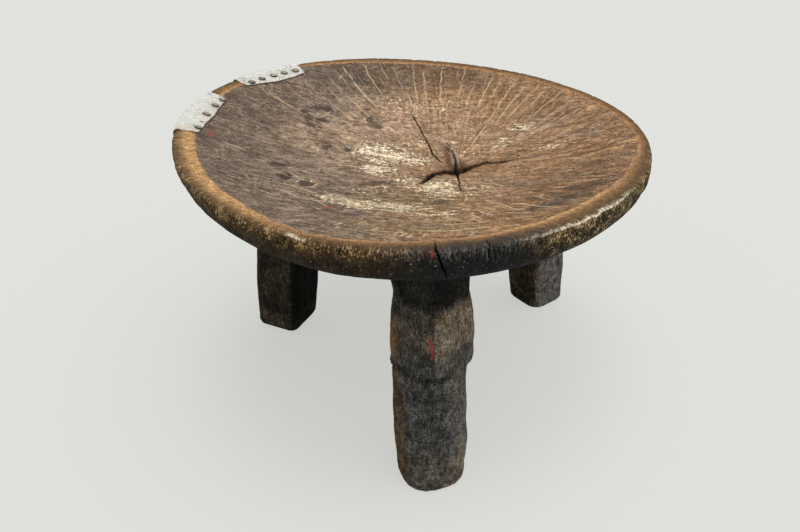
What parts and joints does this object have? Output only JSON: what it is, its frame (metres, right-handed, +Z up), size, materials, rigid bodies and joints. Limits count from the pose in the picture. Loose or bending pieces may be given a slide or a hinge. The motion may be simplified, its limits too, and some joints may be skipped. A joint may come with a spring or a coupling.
{
  "type": "lobi stool",
  "caption": "Low round stool with a dished seat on splayed legs, carved in one piece from a log, with sheet-metal patches nailed over the rim.",
  "frame": {"origin": "on the floor, under the middle of the stool's bounds in plan", "axes": "+Z up; -Y is the front, where the single leg stands; +X to the right seen from the front"},
  "size_m": [0.4124, 0.4066, 0.2526],
  "materials": {
    "wood": "dark, worn, waxed by use",
    "patch_sheet": "dull, scratched sheet",
    "nail_iron": "dull, rust-spotted"
  },
  "bodies": {
    "root": {"back_patch_seat_nail_1": "nail_iron", "back_patch_seat_nail_2": "nail_iron", "back_patch_seat_nail_3": "nail_iron", "back_patch_seat_nail_4": "nail_iron", "back_patch_seat_nail_5": "nail_iron", "back_patch_wall_nail_1": "nail_iron", "back_patch_wall_nail_2": "nail_iron", "back_patch_wall_nail_3": "nail_iron", "back_patch_wall_nail_4": "nail_iron", "back_rim_patch": "patch_sheet", "carved_seat_and_legs": "wood", "left_patch_seat_nail_1": "nail_iron", "left_patch_seat_nail_2": "nail_iron", "left_patch_seat_nail_3": "nail_iron", "left_patch_seat_nail_4": "nail_iron", "left_patch_wall_nail_1": "nail_iron", "left_patch_wall_nail_2": "nail_iron", "left_patch_wall_nail_3": "nail_iron", "left_patch_wall_nail_4": "nail_iron", "left_rim_patch": "patch_sheet"}
  },
  "joints": []
}
